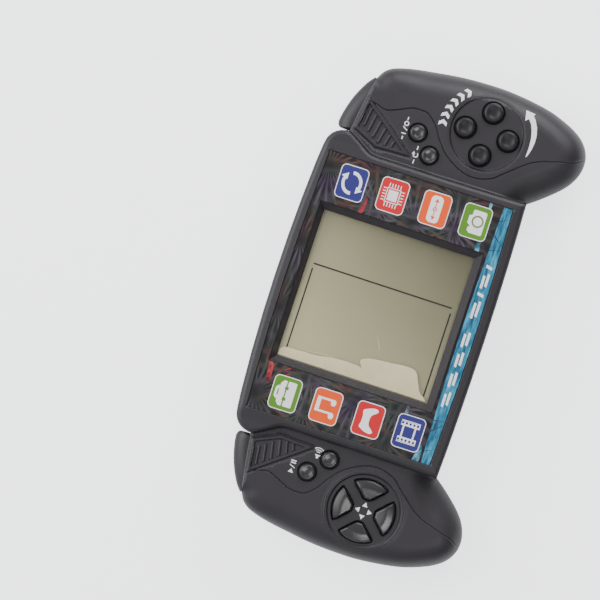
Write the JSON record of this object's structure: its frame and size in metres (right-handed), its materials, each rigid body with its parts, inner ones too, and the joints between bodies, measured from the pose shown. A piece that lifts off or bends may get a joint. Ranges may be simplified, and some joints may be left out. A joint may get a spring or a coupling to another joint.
{
  "type": "handheld lcd game",
  "caption": "Landscape handheld LCD game: raised display frame between two grips, direction and turn keys in dished discs, small keys, shoulder keys, sliding battery cover.",
  "frame": {"origin": "middle of the bounding box, on the plane the grips rest on", "axes": "+X towards the grip with four round keys, +Y towards the shoulder keys, +Z out of the display"},
  "size_m": [0.1834, 0.0968, 0.03],
  "materials": {
    "shell": "satin black, fine texture",
    "key": "smooth black",
    "panel": "printed film, glossy black with coloured pictures",
    "lens": "clear window",
    "film": "thin clear film",
    "polariser": "olive grey",
    "lcd_glass": "twisted-nematic display cell",
    "reflector": "silver backing",
    "holder": "moulded black",
    "zebra": "striped silicone connector",
    "pcb": "phenolic board",
    "silicone": "grey silicone",
    "ribbon": "flat cable",
    "epoxy": "potting",
    "sleeve": "capacitor sleeve",
    "brass": "disc",
    "cell": "wrapped cell",
    "steel": "plated",
    "wire_red": "insulation",
    "wire_black": "insulation"
  },
  "bodies": {
    "case": {"front_shell": "shell", "rear_shell": "shell", "printed_panel": "panel", "window_lens": "lens", "protective_film": "film", "lcd_front_polariser": "polariser", "lcd_glass": "lcd_glass", "lcd_rear_reflector": "reflector", "lcd_holder": "holder", "zebra_strip_upper": "zebra", "zebra_strip_lower": "zebra", "main_board": "pcb", "left_key_board": "pcb", "right_key_board": "pcb", "left_rubber_keypad": "silicone", "right_rubber_keypad": "silicone", "left_ribbon_cable": "ribbon", "right_ribbon_cable": "ribbon", "chip_potting": "epoxy", "filter_capacitor": "sleeve", "buzzer_disc": "brass", "battery_upper": "cell", "battery_lower": "cell", "spring_contact_negative": "steel", "plate_contact_positive": "steel", "bridge_contact": "steel", "battery_wire_red": "wire_red", "battery_wire_black": "wire_black", "buzzer_wire": "wire_red", "case_screw_left_1": "steel", "case_screw_left_2": "steel", "case_screw_left_3": "steel", "case_screw_right_1": "steel", "case_screw_right_2": "steel", "case_screw_right_3": "steel", "board_screw_left_1": "steel", "board_screw_left_2": "steel", "board_screw_right_1": "steel", "board_screw_right_2": "steel", "key_board_screw_left_1": "steel", "key_board_screw_left_2": "steel", "key_board_screw_right_1": "steel", "key_board_screw_right_2": "steel"},
    "direction_key_up": {"direction_key_up": "key"},
    "direction_key_left": {"direction_key_left": "key"},
    "direction_key_right": {"direction_key_right": "key"},
    "direction_key_down": {"direction_key_down": "key"},
    "rotate_button_up": {"rotate_button_up": "key"},
    "rotate_button_left": {"rotate_button_left": "key"},
    "rotate_button_right": {"rotate_button_right": "key"},
    "rotate_button_down": {"rotate_button_down": "key"},
    "power_button": {"power_button": "key"},
    "reset_button": {"reset_button": "key"},
    "start_pause_button": {"start_pause_button": "key"},
    "sound_button": {"sound_button": "key"},
    "right_shoulder_key": {"right_shoulder_key": "shell"},
    "left_shoulder_key": {"left_shoulder_key": "shell"},
    "battery_cover": {"battery_cover": "shell"}
  },
  "joints": [
    {"name": "direction_key_up_press", "type": "slide", "parent": "case", "child": "direction_key_up", "axis": [0, 0, -1], "range_m": [0, 0.0012], "stiffness_N_per_m": 400, "deforming": ["left_rubber_keypad"]},
    {"name": "direction_key_left_press", "type": "slide", "parent": "case", "child": "direction_key_left", "axis": [0, 0, -1], "range_m": [0, 0.0012], "stiffness_N_per_m": 400, "deforming": ["left_rubber_keypad"]},
    {"name": "direction_key_right_press", "type": "slide", "parent": "case", "child": "direction_key_right", "axis": [0, 0, -1], "range_m": [0, 0.0012], "stiffness_N_per_m": 400, "deforming": ["left_rubber_keypad"]},
    {"name": "direction_key_down_press", "type": "slide", "parent": "case", "child": "direction_key_down", "axis": [0, 0, -1], "range_m": [0, 0.0012], "stiffness_N_per_m": 400, "deforming": ["left_rubber_keypad"]},
    {"name": "rotate_button_up_press", "type": "slide", "parent": "case", "child": "rotate_button_up", "axis": [0, 0, -1], "range_m": [0, 0.0012], "stiffness_N_per_m": 400, "deforming": ["right_rubber_keypad"]},
    {"name": "rotate_button_left_press", "type": "slide", "parent": "case", "child": "rotate_button_left", "axis": [0, 0, -1], "range_m": [0, 0.0012], "stiffness_N_per_m": 400, "deforming": ["right_rubber_keypad"]},
    {"name": "rotate_button_right_press", "type": "slide", "parent": "case", "child": "rotate_button_right", "axis": [0, 0, -1], "range_m": [0, 0.0012], "stiffness_N_per_m": 400, "deforming": ["right_rubber_keypad"]},
    {"name": "rotate_button_down_press", "type": "slide", "parent": "case", "child": "rotate_button_down", "axis": [0, 0, -1], "range_m": [0, 0.0012], "stiffness_N_per_m": 400, "deforming": ["right_rubber_keypad"]},
    {"name": "power_button_press", "type": "slide", "parent": "case", "child": "power_button", "axis": [0, 0, -1], "range_m": [0, 0.0012], "stiffness_N_per_m": 400, "deforming": ["right_rubber_keypad"]},
    {"name": "reset_button_press", "type": "slide", "parent": "case", "child": "reset_button", "axis": [0, 0, -1], "range_m": [0, 0.0012], "stiffness_N_per_m": 400, "deforming": ["right_rubber_keypad"]},
    {"name": "start_pause_button_press", "type": "slide", "parent": "case", "child": "start_pause_button", "axis": [0, 0, -1], "range_m": [0, 0.0012], "stiffness_N_per_m": 400, "deforming": ["left_rubber_keypad"]},
    {"name": "sound_button_press", "type": "slide", "parent": "case", "child": "sound_button", "axis": [0, 0, -1], "range_m": [0, 0.0012], "stiffness_N_per_m": 400, "deforming": ["left_rubber_keypad"]},
    {"name": "right_shoulder_key_press", "type": "hinge", "parent": "case", "child": "right_shoulder_key", "pos_m": [0.07937, 0.03159, 0.0138], "axis": [0, 0, 1], "range_deg": [0, 4], "stiffness_Nm_per_rad": 0.08},
    {"name": "left_shoulder_key_press", "type": "hinge", "parent": "case", "child": "left_shoulder_key", "pos_m": [-0.07937, 0.03159, 0.0138], "axis": [0, 0, -1], "range_deg": [0, 4], "stiffness_Nm_per_rad": 0.08},
    {"name": "battery_cover_slide", "type": "slide", "parent": "case", "child": "battery_cover", "axis": [0, -1, 0], "range_m": [0, 0.048]}
  ]
}
